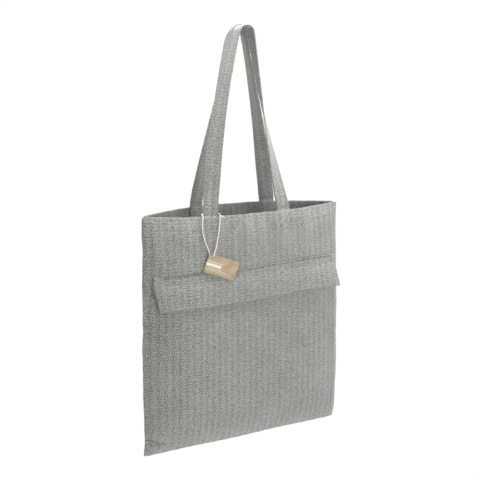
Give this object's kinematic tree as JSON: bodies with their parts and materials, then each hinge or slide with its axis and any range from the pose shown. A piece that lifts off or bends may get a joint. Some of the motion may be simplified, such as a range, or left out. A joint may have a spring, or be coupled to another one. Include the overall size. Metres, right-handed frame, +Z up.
{
  "type": "cotton tote bag with front flap",
  "caption": "Soft grey herringbone cotton tote bag with two long handles, a sewn-on front flap over a full-width pocket, and a kraft card swing tag on a white string.",
  "frame": {"origin": "the point the bag hangs from: under the top of both handles, midway between them", "axes": "+X to the right seen from the flap's side, +Y from the flap's side to the back, +Z up"},
  "size_m": [0.3802, 0.1016, 0.7262],
  "materials": {
    "grey_herringbone_cotton": "matte",
    "grey_cotton_inside": "matte",
    "grey_sewing_thread": "matte",
    "white_cotton_string": "matte",
    "kraft_card": "matte card"
  },
  "bodies": {
    "bag": {"front_panel": "grey_herringbone_cotton", "back_panel": "grey_herringbone_cotton", "pocket_panel": "grey_herringbone_cotton", "flap_sewn_edge": "grey_herringbone_cotton", "front_rim_hem": "grey_cotton_inside", "back_rim_hem": "grey_cotton_inside", "pocket_hem": "grey_cotton_inside", "left_side_seam": "grey_cotton_inside", "right_side_seam": "grey_cotton_inside", "bottom_seam": "grey_cotton_inside", "front_handle_end_left": "grey_herringbone_cotton", "front_handle_end_right": "grey_herringbone_cotton", "back_handle_end_left": "grey_herringbone_cotton", "back_handle_end_right": "grey_herringbone_cotton", "front_box_stitch_left": "grey_sewing_thread", "front_box_stitch_right": "grey_sewing_thread", "back_box_stitch_left": "grey_sewing_thread", "back_box_stitch_right": "grey_sewing_thread", "flap_stitch_upper": "grey_sewing_thread", "flap_stitch_lower": "grey_sewing_thread", "front_rim_stitch": "grey_sewing_thread", "back_rim_stitch": "grey_sewing_thread", "pocket_hem_stitch": "grey_sewing_thread", "tag_string_loop": "white_cotton_string", "tag_string_knot": "white_cotton_string"},
    "front_handle": {"front_handle": "grey_herringbone_cotton"},
    "back_handle": {"back_handle": "grey_herringbone_cotton"},
    "flap": {"flap_outer": "grey_herringbone_cotton", "flap_lining": "grey_cotton_inside"},
    "tag_string": {"tag_string": "white_cotton_string"},
    "hang_tag": {"hang_tag": "kraft_card"}
  },
  "joints": [
    {"name": "front_handle_fold", "type": "hinge", "parent": "bag", "child": "front_handle", "pos_m": [0, -0.0315, -0.3066], "axis": [1, 0, 0], "range_deg": [0, 110]},
    {"name": "back_handle_fold", "type": "hinge", "parent": "bag", "child": "back_handle", "pos_m": [0, 0.042, -0.2996], "axis": [-1, 0, 0], "range_deg": [0, 165]},
    {"name": "flap_fold", "type": "hinge", "parent": "bag", "child": "flap", "pos_m": [0, -0.0415, -0.4154], "axis": [-0.9999, 0, -0.0168], "range_deg": [0, 120]},
    {"name": "tag_string_swing", "type": "hinge", "parent": "bag", "child": "tag_string", "pos_m": [0, -0.0336, -0.3091], "axis": [-1, 0, 0], "range_deg": [0, 42]},
    {"name": "hang_tag_tilt", "type": "hinge", "parent": "tag_string", "child": "hang_tag", "pos_m": [-0.0748, -0.0444, -0.3742], "axis": [0, -1, 0], "range_deg": [0, 25]}
  ],
  "couplings": [
    {"joint": "tag_string_swing", "follows": "flap_fold", "ratio": 0.34}
  ]
}
